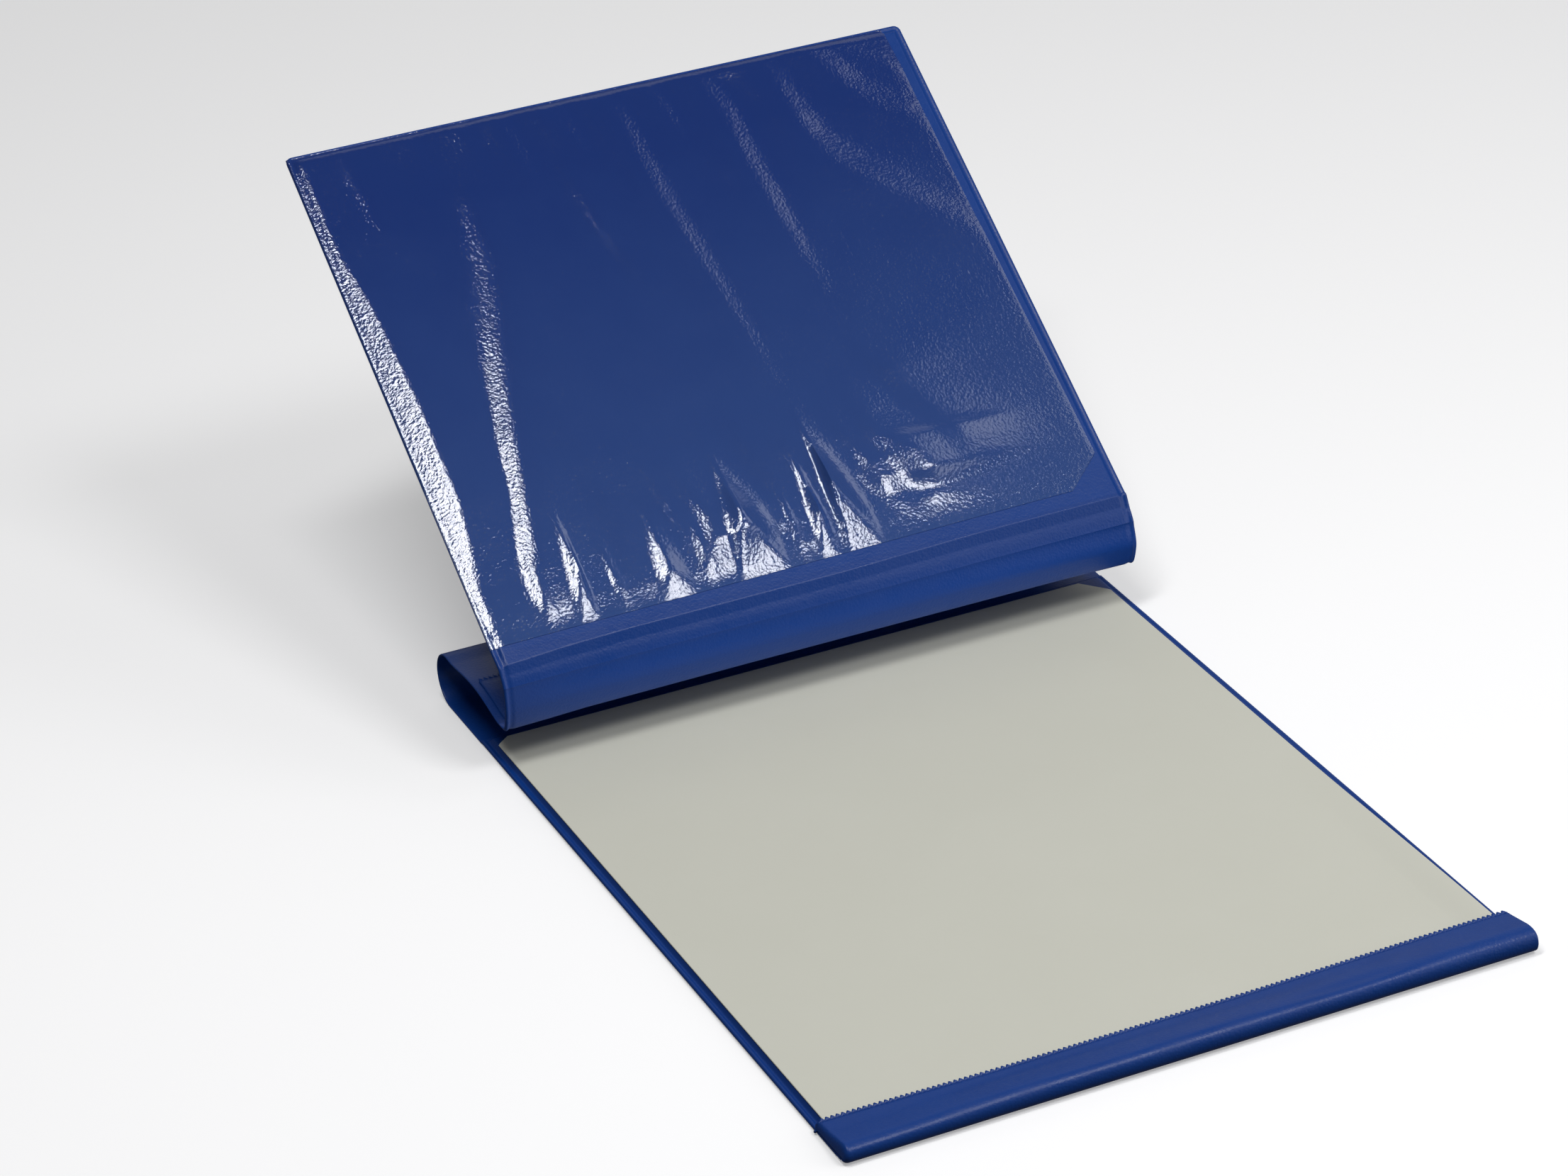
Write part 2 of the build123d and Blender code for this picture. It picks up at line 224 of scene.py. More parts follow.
class Graph:
    """Small helper to wire a node material."""

    def __init__(self, name):
        self.material = bpy.data.materials.new(name)
        self.material.use_nodes = True
        self.nodes = self.material.node_tree.nodes
        self.links = self.material.node_tree.links
        self.shader = self.nodes["Principled BSDF"]
        self.where = self.nodes.new("ShaderNodeTexCoord").outputs["Object"]

    def set(self, **values):
        for key, value in values.items():
            self.shader.inputs[key.replace("_", " ")].default_value = value

    def noise(self, scale, detail=2.0, rough=0.5, stretch=None):
        node = self.nodes.new("ShaderNodeTexNoise")
        node.inputs["Scale"].default_value = scale
        node.inputs["Detail"].default_value = detail
        node.inputs["Roughness"].default_value = rough
        self.links.new(self.stretched(stretch), node.inputs["Vector"])
        return node.outputs["Fac"]

    def cells(self, scale):
        node = self.nodes.new("ShaderNodeTexVoronoi")
        node.feature = "SMOOTH_F1"
        node.inputs["Scale"].default_value = scale
        self.links.new(self.where, node.inputs["Vector"])
        return node.outputs["Distance"]

    def height(self):
        """Height of the shaded point in the piece's own frame, in metres."""
        split = self.nodes.new("ShaderNodeSeparateXYZ")
        self.links.new(self.where, split.inputs["Vector"])
        return split.outputs["Z"]

    def stretched(self, stretch):
        if stretch is None:
            return self.where
        node = self.nodes.new("ShaderNodeMapping")
        node.inputs["Scale"].default_value = stretch
        self.links.new(self.where, node.inputs["Vector"])
        return node.outputs["Vector"]

    def ramp(self, source, low, high, start=0.3, stop=0.7):
        node = self.nodes.new("ShaderNodeValToRGB")
        node.color_ramp.elements[0].position = start
        node.color_ramp.elements[0].color = (*low, 1)
        node.color_ramp.elements[1].position = stop
        node.color_ramp.elements[1].color = (*high, 1)
        self.links.new(source, node.inputs["Fac"])
        return node.outputs["Color"]

    def span(self, source, low, high, start=0.3, stop=0.7):
        node = self.nodes.new("ShaderNodeMapRange")
        for key, value in (("From Min", start), ("From Max", stop), ("To Min", low), ("To Max", high)):
            node.inputs[key].default_value = value
        self.links.new(source, node.inputs["Value"])
        return node.outputs["Result"]

    def sum(self, a, b, weight):
        """a plus weight times b."""
        node = self.nodes.new("ShaderNodeMath")
        node.operation = "MULTIPLY_ADD"
        self.links.new(b, node.inputs[0])
        node.inputs[1].default_value = weight
        self.links.new(a, node.inputs[2])
        return node.outputs["Value"]

    def bump(self, height, distance, strength=1.0):
        node = self.nodes.new("ShaderNodeBump")
        node.inputs["Distance"].default_value = distance
        node.inputs["Strength"].default_value = strength
        self.links.new(height, node.inputs["Height"])
        self.links.new(node.outputs["Normal"], self.shader.inputs["Normal"])

    def to(self, source, key):
        self.links.new(source, self.shader.inputs[key])


def vinyl_material(name, pale=None):
    """Grained vinyl. With a pale tone it turns from that at the foot to the deep tone further up, a painted
    light that brightens the lower part.
    """
    deep, light = (0.0046, 0.045, 0.250), (0.0054, 0.051, 0.275)
    g = Graph(name)
    g.set(IOR=1.46, Specular_IOR_Level=0.42)
    if pale:
        # Painted light: paler low down, fading into the deep tone between about 28 and 40 mm up
        height = g.sum(g.height(), g.noise(38.0, 3.0, 0.6), 0.004)
        g.to(g.ramp(height, pale, deep, 0.028, 0.040), "Base Color")
    else:
        g.to(g.ramp(g.noise(38.0, 3.0, 0.6), deep, light), "Base Color")
    grain = g.sum(g.cells(1250.0), g.noise(2600.0), 0.45)
    g.bump(g.sum(grain, g.noise(320.0), 0.8), 0.00006)
    g.to(g.span(g.noise(90.0, 4.0, 0.65), 0.32, 0.43), "Roughness")
    return g.material


def film_material():
    g = Graph("clear_film")
    g.set(IOR=1.6, Alpha=0.7, Specular_IOR_Level=1.0)
    # Painted reflection: the film turns paler lower down, towards the crease, for the lighter sheen it shows
    # there
    height = g.sum(g.height(), g.noise(45.0, 3.0, 0.6), 0.02)
    g.to(g.ramp(height, (0.050, 0.118, 0.380), (0.012, 0.047, 0.258), 0.04, 0.155), "Base Color")
    grain = g.sum(g.cells(1000.0), g.noise(1900.0), 0.6)
    g.bump(g.sum(grain, g.noise(260.0), 1.0), 0.00008)
    g.to(g.span(g.noise(60.0, 4.0, 0.65), 0.08, 0.13), "Roughness")
    return g.material


def card_material():
    g = Graph("white_card")
    g.set(IOR=1.45)
    g.to(g.ramp(g.noise(14.0, 5.0, 0.6), (0.690, 0.690, 0.604), (0.706, 0.706, 0.622)), "Base Color")
    height = g.sum(g.noise(1500.0, 4.0, 0.7), g.noise(500.0, 3.0, 0.6, (1.0, 2.5, 1.0)), 0.6)
    g.bump(height, 0.00003, 0.7)
    g.to(g.span(g.noise(300.0, 3.0), 0.66, 0.78), "Roughness")
    return g.material


def board_material():
    g = Graph("grey_board")
    g.to(g.ramp(g.noise(420.0, 6.0, 0.7), (0.19, 0.17, 0.145), (0.36, 0.335, 0.30)), "Base Color")
    g.bump(g.sum(g.noise(900.0, 5.0, 0.7), g.noise(200.0, 2.0), 0.5), 0.00008, 0.8)
    g.to(g.span(g.noise(150.0, 3.0), 0.82, 0.95), "Roughness")
    return g.material


def metal_material():
    g = Graph("nickel")
    g.set(Metallic=1.0)
    g.to(g.ramp(g.noise(900.0, 3.0), (0.62, 0.60, 0.57), (0.78, 0.77, 0.74)), "Base Color")
    g.bump(g.noise(4000.0, 4.0, 0.7, (1.0, 6.0, 1.0)), 0.000012, 0.6)
    g.to(g.span(g.noise(1200.0, 4.0), 0.16, 0.30), "Roughness")
    return g.material


VINYL = vinyl_material("blue_vinyl")
# Copy of the vinyl with painted light, paler towards its foot, for the spine strip
STRIP_PAINTED_LIGHT = vinyl_material("blue_vinyl_strip_painted_light", pale=(0.0064, 0.062, 0.350))
FILM = film_material()
CARD = card_material()
BOARD = board_material()
METAL = metal_material()


# Lower panel


def base_top():
    x = lines(-HALF, HALF, 8.0)
    nose = FRONT + np.array([0.0, 0.3, 0.7, 1.1, 1.5])
    y = np.concatenate([nose, lines(FRONT + 2.5, BASE_END, 8.0, False)])
    gx, gy = np.meshgrid(x, y, indexing="ij")
    rise = rim(np.minimum(HALF - np.abs(gx), BASE_END - gy), PANEL_RISE)
    front = 0.05 + 2.05 * smooth((gy - FRONT) / 1.3)
    top = SHEET + np.minimum(rise, np.where(gy < FRONT + 2.4, front, 9.0))
    under = np.minimum(top, np.maximum(SHEET + 0.01, top - SKIN))
    outer = np.stack([gx, gy, top], axis=2)
    inner = np.stack([gx, gy, under], axis=2)
    return sheet_piece("lower_panel_top_sheet", outer, inner, VINYL)


def base_bottom():
    x = lines(-HALF, HALF, 8.0)
    y = lines(FRONT + 3.0, BASE_SEAM, 8.0, False, False)
    gx, gy = np.meshgrid(x, y, indexing="ij")
    top = SHEET - 0.01
    low = top * (1.0 - quarter((HALF - np.abs(gx)) / BEAD))
    outer = np.stack([gx, gy, low], axis=2)
    inner = np.stack([gx, gy, np.full_like(gx, top)], axis=2)
    return sheet_piece("lower_panel_bottom_sheet", outer, inner, VINYL)


# Side views of the front roll, from under the panel round the nose to the toothed edge
ROLL_LEFT = [
    (-153, 0), (-156, 0), (-158.2, 0.45), (-159.35, 1.9), (-159.4, 3.5), (-158.8, 4.8),
    (-157.4, 5.65), (-155.2, 5.9), (-150.5, 5.2), (-145, 4.4), (-138.2, 4.1),
]
ROLL_MIDDLE = [
    (-153, 0), (-156, 0), (-158.2, 0.5), (-159.4, 2.2), (-159.45, 4.0), (-158.8, 5.6),
    (-157.3, 6.7), (-155.0, 7.0), (-150, 5.95), (-144.8, 4.55), (-139.5, 4.1),
]
ROLL_RIGHT = [
    (-153, 0), (-156, 0), (-158.1, 0.6), (-159.4, 2.2), (-159.6, 4.2), (-158.9, 6.2),
    (-157.2, 7.45), (-154.4, 7.9), (-150.8, 7.3), (-147.0, 6.6), (-143.4, 5.95), (-140.0, 5.6),
]


def teeth_columns(low, high):
    """Columns of a grid across a pinked edge: place, reach from 0 to 1 and twist of the tooth there."""
    count = int(round((high - low) / PITCH))
    step = (high - low) / count
    phase = np.tile(np.arange(TOOTH_COLUMNS) / TOOTH_COLUMNS, count)
    x = low + step * (np.repeat(np.arange(count), TOOTH_COLUMNS) + phase)
    reach = 1.0 - np.abs(2.0 * phase - 1.0)
    twist = 0.5 - 0.5 * np.cos(2 * math.pi * np.append(phase, 0.0))
    return np.append(x, high), np.append(reach, 0.0)[:, None], twist[:, None]


def front_flap():
    x, reach, twist = teeth_columns(-HALF, HALF)
    keep = 46
    spread = np.concatenate([
        np.linspace(0, 0.12, 3, endpoint=False),
        np.linspace(0.12, 0.62, 27, endpoint=False),
        np.linspace(0.62, 1, keep - 30),
    ])
    left, middle, right = (path(p, keep, spread) for p in (ROLL_LEFT, ROLL_MIDDLE, ROLL_RIGHT))
    to_middle = smooth((x + HALF) / 70.0)[:, None, None]
    to_right = smooth((x - 15.0) / 95.0)[:, None, None]
    side = left[None] * (1 - to_middle) + middle[None] * to_middle
    side = side * (1 - to_right) + right[None] * to_right
    y, z = side[..., 0], side[..., 1]
    # Pinked edge: the last rows end at the teeth, each tooth leaning and a little curled like a cord
    edge = y[:, -1:]
    room = edge - TOOTH
    t = np.array([0.08, 0.2, 0.4, 0.6, 0.8, 1.0])[None, :]
    web = 0.75
    ty = room + t * (web + reach * (TOOTH - web))
    slope = (z[:, -1] - z[:, -4]) / (y[:, -1] - y[:, -4])
    tz = z[:, -1:] + slope[:, None] * (ty - edge)
    curl = np.array([-0.16, 0.0, 0.12, 0.14, 0.1, 0.0])[None, :]
    tz = tz + curl + 0.42 * twist * smooth(t / 0.3) - 0.1
    inside = np.clip(y, None, room - 0.05)
    cut = y > room
    z = np.where(cut, z[:, -1:] + slope[:, None] * (inside - edge), z)
    y = inside
    first = keep - int(cut.sum(axis=1).max())
    y, z = y[:, :first], z[:, :first]
    gx = np.repeat(x[:, None], first, axis=1)
    y = np.concatenate([y, ty], axis=1)
    z = np.concatenate([z, tz], axis=1)
    gx = np.concatenate([gx, x[:, None] - 0.9 * t], axis=1)
    # Soft dent and a few slow waves along the roll
    along = np.linspace(0, 1, y.shape[1])[None, :]
    band = np.exp(-(((along - 0.50) / 0.09) ** 2))
    z = z - 0.55 * np.exp(-(((gx - 58.0) / 22.0) ** 2)) * band
    z = z + 0.10 * np.sin(gx / 13.0 + 1.0) * band * smooth((x[:, None] + 110) / 30)
    # Closed left end
    end_height = 1.25
    open_up = quarter((gx + HALF + 0.02) / 1.8)
    z = end_height + (z - end_height) * open_up
    y = np.where(y < FRONT, FRONT + (y - FRONT) * (0.55 + 0.45 * open_up), y)
    surface = np.stack([gx, y, z], axis=2)
    # The surface is the vinyl's outer face. The sheet thins to nothing at the open right side and the teeth
    shrink = HALF_SHEET * (1.0 - quarter(np.minimum((HALF - gx) / 0.4, open_end(y.shape[1]))))
    flip = 1.0 if normals(surface)[10, 8, 1] < 0 else -1.0
    outer, inner = thicken(surface, -shrink, SHEET - shrink, flip)
    return sheet_piece("front_flap_roll", outer, inner, VINYL, sharp=50.0)


def white_card():
    left, right, front, back = -117.0, 116.0, -154.3, 122.3
    near = np.array([0.0, 0.15, 0.6])
    x = np.concatenate([
        left + near, np.linspace(left + 2, 104, 30), np.linspace(105, right - 0.6, 14),
        [right - 0.15, right],
    ])
    y = np.concatenate([
        front + near, np.linspace(front + 2, back - 12, 52), np.linspace(back - 11, back - 0.6, 12),
        [back - 0.15, back],
    ])
    gx, gy = np.meshgrid(x, y, indexing="ij")
    # Corners clipped at the back
    cut_left = np.interp(gy, [back - 4.1, back], [0.0, 5.0])
    cut_right = np.interp(gy, [back - 9.7, back], [0.0, 7.9])
    fx = (gx - left) / (right - left)
    gx = (left + cut_left) + fx * (right - cut_right - left - cut_left)
    sides = np.minimum(gx - left - cut_left, right - cut_right - gx)
    edge = np.minimum(sides, np.minimum(gy - front, back - gy))
    # The front part of the right edge is lifted
    lift = 1.55 * smooth((-17.0 - gy) / 118.0) * smooth((gx - 102.0) / 14.0)
    half = 0.2 * quarter(edge / 0.18)
    level = 3.1 + lift
    outer = np.stack([gx, gy, level + half], axis=2)
    inner = np.stack([gx, gy, level - half], axis=2)
    return sheet_piece("white_card_sheet", outer, inner, CARD)


# Roll at the back, gusset and tail


def gusset_level(x, y):
    """Height of the gusset's upper face, with its hump and the bow of the front fold."""
    level = FOLD[1] + (y - FOLD[0]) * math.tan(GUSSET_TILT)
    height = np.interp(x, [-120, -70, 0, 70, 120], [2.2, 1.5, 1.2, 1.3, 1.9])
    t = np.clip((151.15 - y) / 42.0, 0, 1)
    hump = height * np.sin(math.pi * t) ** 1.3
    for cx, cy in CAPS:
        py = FOLD[0] + cy * math.cos(GUSSET_TILT)
        hump = hump * (1.0 - np.exp(-(((x - cx) ** 2 + (y - py) ** 2) / 13.0**2)))
    return level + hump


def fold_bow(x):
    """How far the front fold bows up at x."""
    places = [-120, -105, -90, -30, 30, 90, 112, 120]
    return np.interp(x, places, [-0.25, 0.1, 0.6, 0.9, 0.9, 0.8, 0.45, 0.3])


def gusset_bow(x, y):
    """The fold's bow where it reaches back along the gusset."""
    return fold_bow(x) * smooth((125.0 - y) / 17.35)


def back_roll():
    x = lines(-HALF, HALF, 5.0)
    straight = [(yy, HALF_SHEET) for yy in np.linspace(BASE_SEAM, BACK, 9)[:-1]]
    radius = LOOP_R - HALF_SHEET
    arc = []
    for a in np.radians(np.linspace(-90, 92.6, 40)):
        arc.append((BACK + radius * math.cos(a), LOOP_Z + radius * math.sin(a)))
    run = [(yy, None) for yy in np.linspace(arc[-1][0], FOLD_SEAM, 40)[1:]]
    profile = straight + arc + run
    n, m = len(x), len(profile)
    grid = np.zeros((n, m, 3))
    for j, (yy, zz) in enumerate(profile):
        grid[:, j, 0] = x
        grid[:, j, 1] = yy
        grid[:, j, 2] = gusset_level(x, yy) - HALF_SHEET + gusset_bow(x, yy) if zz is None else zz
    half = HALF_SHEET * quarter((HALF - np.abs(grid[..., 0])) / HALF_SHEET)
    outer, inner = thicken(grid, half, half)
    return sheet_piece("back_roll_and_gusset", outer, inner, VINYL)


def tail_strip():
    x, reach, twist = teeth_columns(-HALF + TAIL_INSET, HALF - TAIL_INSET)
    room = TAIL_END - TOOTH
    rows = np.linspace(FOLD_SEAM, room, 20)
    gy = np.repeat(rows[None, :], len(x), axis=0)
    gx = np.repeat(x[:, None], len(rows), axis=1)
    t = np.linspace(0.2, 1.0, 6)[None, :]
    web = 0.2
    gy = np.concatenate([gy, room + t * (web + reach * (TOOTH - web))], axis=1)
    gx = np.concatenate([gx, x[:, None] - 0.45 * t * reach], axis=1)
    level = gusset_level(gx, gy) + gusset_bow(gx, gy)
    tip = np.concatenate([np.zeros((len(x), len(rows))), 0.3 * smooth(t / 0.4) * twist], axis=1)
    half_thickness, middle_height = 0.34, 0.36
    side = (HALF - TAIL_INSET - np.abs(gx)) / 0.5
    half = half_thickness * quarter(np.minimum(open_end(gy.shape[1]), side))
    middle = level + middle_height + tip
    outer = np.stack([gx, gy, middle + half], axis=2)
    inner = np.stack([gx, gy, middle - half], axis=2)
    return sheet_piece("cover_tail_on_gusset", outer, inner, VINYL, sharp=50.0)


# Spine strip

# Front face of the strip in the side view, from the gusset's underside round the fold to the seam,
# where the piece of the lower fold ends and the piece of the upper crease begins
SPINE_ROWS = 70
SPINE_FRONT = [
    (107.65, 17.11), (105.6, 17.0), (104.2, 16.95), (102.9, 17.25), (101.8, 18.3), (100.9, 20.2),
    (100.2, 22.4), (99.6, 25.2), (99.35, 28.5), (99.45, 31.5), (99.85, 34.4),
]


def askew(x):
    """How far up the cover its lower crease lies at x, from where it is at the left end."""
    return np.interp(x, [-120, -95, -70, 10, 60, 120], [0.0, 1.5, 2.1, 2.2, 3.5, 3.7])


def seam_shift(x):
    """How far back the strip leans at its seam, so that it meets the askew crease."""
    return 0.2 + 0.45 * askew(x)


def creases(x):
    """Side-view places of the strip's upper crease and of the cover's lower crease at x."""
    up = float(askew(x))
    cover = np.array([103.5 + 0.825 * up, 41.02 + 0.565 * up])
    strip = cover - np.array([1.5 + 0.05 * up, 2.9 + 0.2 * up])
    return strip, cover


def up_cover(t):
    """Side-view point at t up the cover from the crease axis, on its middle plane."""
    return np.array([CREASE[0] + t * math.cos(COVER_TILT), CREASE[1] + t * math.sin(COVER_TILT)])


def spine_normal(points):
    """Directions into the strip, away from its front face."""
    step = np.gradient(points, axis=0)
    step /= np.linalg.norm(step, axis=1, keepdims=True)
    return np.stack([step[:, 1], -step[:, 0]], axis=1)


def rounded(a, b, c, radius, count):
    """The way from a over b to c with a round corner at b, as evenly spaced points."""
    to_a, to_c = np.linalg.norm(a - b), np.linalg.norm(c - b)
    reach = min(radius, 0.45 * to_a, 0.45 * to_c)
    start, stop = b + (a - b) / to_a * reach, b + (c - b) / to_c * reach
    out = [a]
    for t in np.linspace(0, 1, 9):
        out.append((1 - t) ** 2 * start + 2 * t * (1 - t) * b + t**2 * stop)
    out = np.array([*out, c])
    along = np.concatenate([[0], np.cumsum(np.linalg.norm(np.diff(out, axis=0), axis=1))])
    at = np.linspace(0, along[-1], count)
    return np.stack([np.interp(at, along, out[:, 0]), np.interp(at, along, out[:, 1])], axis=1)


def spine_fold():
    x = lines(-HALF, HALF, 5.0)
    front = path(SPINE_FRONT, SPINE_ROWS)
    middle = front + spine_normal(front) * SHEET
    up = front[:, 1] - 17.0
    n, m = len(x), len(front)
    d = HALF - np.abs(x)
    grid = np.zeros((n, m, 3))
    grid[..., 0] = x[:, None]
    grid[..., 1] = middle[None, :, 0]
    grid[..., 2] = middle[None, :, 1] + fold_bow(x)[:, None] * smooth(1.0 - up / 18.0)[None, :]
    # Ends of the strip bulge a little less
    bulge = np.sin(math.pi * np.clip(up / 17.4, 0, 1))[None, :]
    slack = 0.5 * smooth((d - 30.0) / -30.0)[:, None] * bulge
    lean = seam_shift(x)[:, None] * smooth((front[:, 1] - 25.0) / 9.4)[None, :]
    grid[..., 1] += 0.6 * slack + lean
    at_strip = smooth(np.linspace(0, 1, m) / 0.22)[None, :]
    strip = rim(d, SHEET)[:, None]
    below = SHEET * quarter(d / HALF_SHEET)[:, None]
    tail = (SHEET * smooth((d - 2.6) / 0.5))[:, None]
    lower = below * (1 - at_strip) + strip * at_strip
    upper = tail * (1 - at_strip) + strip * at_strip
    flip = -1.0 if normals(grid)[n // 2, m // 2, 1] > 0 else 1.0
    outer, inner = thicken(grid, lower, upper, flip)
    return sheet_piece("spine_strip_lower_fold", outer, inner, STRIP_PAINTED_LIGHT)


def spine_crease():
    x = lines(-HALF, HALF, 5.0)
    strip_end = path(SPINE_FRONT, SPINE_ROWS)
    into = spine_normal(strip_end)[-1]
    out_of_cover = np.array([-math.sin(COVER_TILT), math.cos(COVER_TILT)])
    end_front = up_cover(COVER_START) + COVER_HALF * out_of_cover
    end_back = up_cover(COVER_START) - COVER_HALF * out_of_cover
    d = HALF - np.abs(x)
    n, m, below_crease = len(x), 46, 14
    outer = np.zeros((n, m, 3))
    inner = np.zeros((n, m, 3))
    for i in range(n):
        strip, cover = creases(x[i])
        start = strip_end[-1] + np.array([seam_shift(x[i]), 0.0])
        bulge = (start + strip) / 2 + np.array([-0.12, 0.08])
        below = path([start, bulge, strip], below_crease)
        above = rounded(strip, cover, end_front, 0.3, m - below_crease + 1)[1:]
        front = np.concatenate([below, above])
        behind = [start + 2 * SHEET * into, strip + np.array([1.15, -0.79]), cover + np.array([1.55, -1.55])]
        back = path([*behind, end_back], m)
        half = (front - back) / 2
        full = np.linalg.norm(half, axis=1)
        unit = half / full[:, None]
        size = rim(d[i], full)[:, None]
        middle = (front + back) / 2
        for grid, sign in ((outer, 1.0), (inner, -1.0)):
            grid[i, :, 0] = x[i]
            grid[i, :, 1:] = middle + sign * unit * size
    return sheet_piece("spine_strip_upper_crease", outer, inner, STRIP_PAINTED_LIGHT)


# Cover


def on_cover(gx, gu, gn):
    """Points at gx across, gu up and gn out from the cover's middle plane."""
    c, s = math.cos(COVER_TILT), math.sin(COVER_TILT)
    return np.stack([gx, CREASE[0] + gu * c - gn * s, CREASE[1] + gu * s + gn * c], axis=2)


def cover_grid():
    x = lines(-HALF, HALF, 6.0)
    u = lines(COVER_START, COVER_LENGTH, 6.0, False)
    gx, gu = np.meshgrid(x, u, indexing="ij")
    dx, du = HALF - np.abs(gx), COVER_LENGTH - gu
    a = np.clip((CORNER - dx) / CORNER, 0, 1)
    b = np.clip((CORNER - du) / CORNER, 0, 1)
    both = (a > 0) & (b > 0)
    ra = a * np.sqrt(1 - b**2 / 2)
    rb = b * np.sqrt(1 - a**2 / 2)
    gx = np.where(both, np.sign(gx) * (HALF - CORNER + CORNER * ra), gx)
    gu = np.where(both, COVER_LENGTH - CORNER + CORNER * rb, gu)
    d = np.where(both, CORNER * (1 - np.sqrt(ra**2 + rb**2)), np.minimum(dx, du))
    return gx, gu, d


def cover_sheets():
    gx, gu, d = cover_grid()
    n = rim(d, COVER_HALF)
    inside = np.minimum(n, np.maximum(0.01, n - SKIN))
    pieces = []
    for name, side in (("cover_front_sheet", 1.0), ("cover_back_sheet", -1.0)):
        outer, inner = on_cover(gx, gu, side * n), on_cover(gx, gu, side * inside)
        pieces.append(sheet_piece(name, outer, inner, VINYL))
    return pieces


# Creases of the film, each a line of (up the cover, across, width of its slope, strength). Those in
# LEFT_SLOPES fall away to the left, those in RIGHT_SLOPES to the right.
LEFT_SLOPES = [
    [(190, -64, 4, 0.1), (175, -66, 6, 0.4), (158, -68, 7, 0.5), (140, -71, 8, 0.56),
     (120, -77, 8, 0.66), (100, -82, 7, 0.82), (80, -87, 7, 1.0), (60, -91, 6.5, 1.05),
     (45, -94, 6.5, 1.05), (30, -96.5, 6, 1.0), (20, -98, 5, 0.8), (8, -98, 4, 0.1)],
    [(182, -27, 4, 0.2), (165, -25, 4, 0.42), (145, -21, 4, 0.42), (128, -17, 4, 0.2)],
    [(206, -102, 2.5, 0.3), (188, -101, 2.5, 0.48), (172, -99, 2.5, 0.2)],
    [(42, -75.5, 2.5, 0.2), (26, -72, 2.5, 0.4), (10, -68.5, 3, 0.25)],
    [(82, -66, 9, 0.1), (66, -65, 9, 0.3), (48, -65, 6, 0.3), (26, -64, 3, 0.35),
     (10, -61.5, 2.5, 0.2)],
    [(44, -49, 5, 0.2), (24, -50, 6, 0.3), (14, -51, 4, 0.2)],
    [(56, -45, 3, 0.4), (40, -42.5, 3, 0.65), (24, -40.5, 3, 0.45), (14, -39, 3, 0.2)],
    [(55, -37, 5, 0.3), (42, -34, 5, 0.6), (32, -32, 6, 0.95), (24, -33.5, 6, 1.0), (17, -36, 4, 0.7),
     (10, -36, 3, 0.2)],
    [(48, -20, 1.5, 0.3), (34, -19.5, 2, 0.5), (26, -19.5, 2.5, 0.4)],
    [(72, -10, 7, 0.1), (58, -8, 7, 0.3), (40, -4, 7, 0.36), (22, -1.5, 6, 0.3), (10, -1, 4, 0.2)],
    [(66, 7, 10, 0.1), (50, 8, 10, 0.32), (35, 11, 7, 0.36), (26, 9.5, 3, 0.3)],
    [(70, 26, 5, 0.1), (55, 27, 5, 0.35), (45, 30, 4, 0.6), (38, 31.5, 5, 1.0), (30, 33, 5, 1.0),
     (23, 34.5, 3, 0.5), (16, 38, 6, 0.1)],
    [(72, 37, 5, 0.1), (55, 37, 6, 0.4), (48, 38.5, 7, 0.7), (43, 41.5, 9, 1.0), (37, 45, 9, 1.0),
     (29, 48.5, 8, 1.0), (22, 50, 5, 0.4)],
    [(80, 48, 5, 0.2), (72, 53, 6, 0.45), (64, 56, 5, 0.35), (56, 59, 6, 0.45), (44, 66, 7, 0.4),
     (34, 68, 7, 0.2)],
]
# Where the film lies straight from the left weld up to the board: up the cover, its inner end, its slope
LEFT_BRIDGE = [
    (207, -117.5, 0.09), (188, -116.5, 0.14), (165, -114.5, 0.19), (145, -112.5, 0.245),
    (120, -111.2, 0.27), (100, -110.6, 0.27), (60, -110.8, 0.27), (45, -112.6, 0.26),
    (25, -115.4, 0.22), (9, -117.0, 0.15),
]
RIGHT_SLOPES = [
    [(209, -5, 6, 1.0), (203, 3, 6, 1.0), (195, 4.5, 6, 1.0), (180, 5.5, 6, 0.95), (160, 7, 6, 0.9),
     (140, 9.5, 6, 0.85), (120, 12, 5, 0.75), (100, 14.5, 4.5, 0.6), (80, 16.5, 4, 0.35)],
    [(209, 15, 6, 1.0), (201, 20.5, 5, 0.95), (190, 22, 4, 0.8), (180, 22.5, 3, 0.35)],
    [(209, 36, 8, 1.0), (201, 41, 7, 1.0), (190, 43.5, 7, 1.0), (165, 44, 7, 0.95),
     (145, 45.5, 6, 0.85), (125, 47.5, 5, 0.6), (110, 49, 4, 0.3)],
    [(209, 49, 5, 0.9), (203, 54, 4, 0.8), (197, 57, 3, 0.4)],
    [(209, 61, 9, 1.0), (201, 67, 8, 1.0), (187, 68.5, 8, 1.0), (172, 71, 8, 1.0), (158, 79, 9, 0.95),
     (147, 90, 9, 0.85), (137, 100, 9, 0.7), (124, 112, 8, 0.5), (95, 145, 8, 0.2)],
    [(209, 81, 9, 1.0), (200, 88, 8, 1.0), (190, 93, 8, 0.95), (181, 101, 9, 0.8), (172, 114, 9, 0.6),
     (155, 142, 9, 0.2)],
    [(209, 100, 12, 0.9), (203, 106, 11, 0.85), (196, 114, 11, 0.7), (178, 142, 11, 0.3)],
    [(209, -76, 3, 0.8), (203, -72.5, 3, 0.7), (192, -72, 2, 0.3)],
    [(209, -56, 4, 0.9), (203, -53, 4, 0.85), (190, -52, 3, 0.4)],
    [(209, -41, 4, 0.9), (203, -38, 5, 0.95), (190, -37, 4, 0.8), (176, -37, 3, 0.3)],
    [(209, -24, 6, 1.0), (201, -17, 6, 1.0), (193, -15, 5, 0.9), (184, -14, 3, 0.4)],
]
# Flat shiny line on the left weld: how far up the cover it runs, its slope and its width
WELD_LINE = (78.0, 0.27, 1.25)
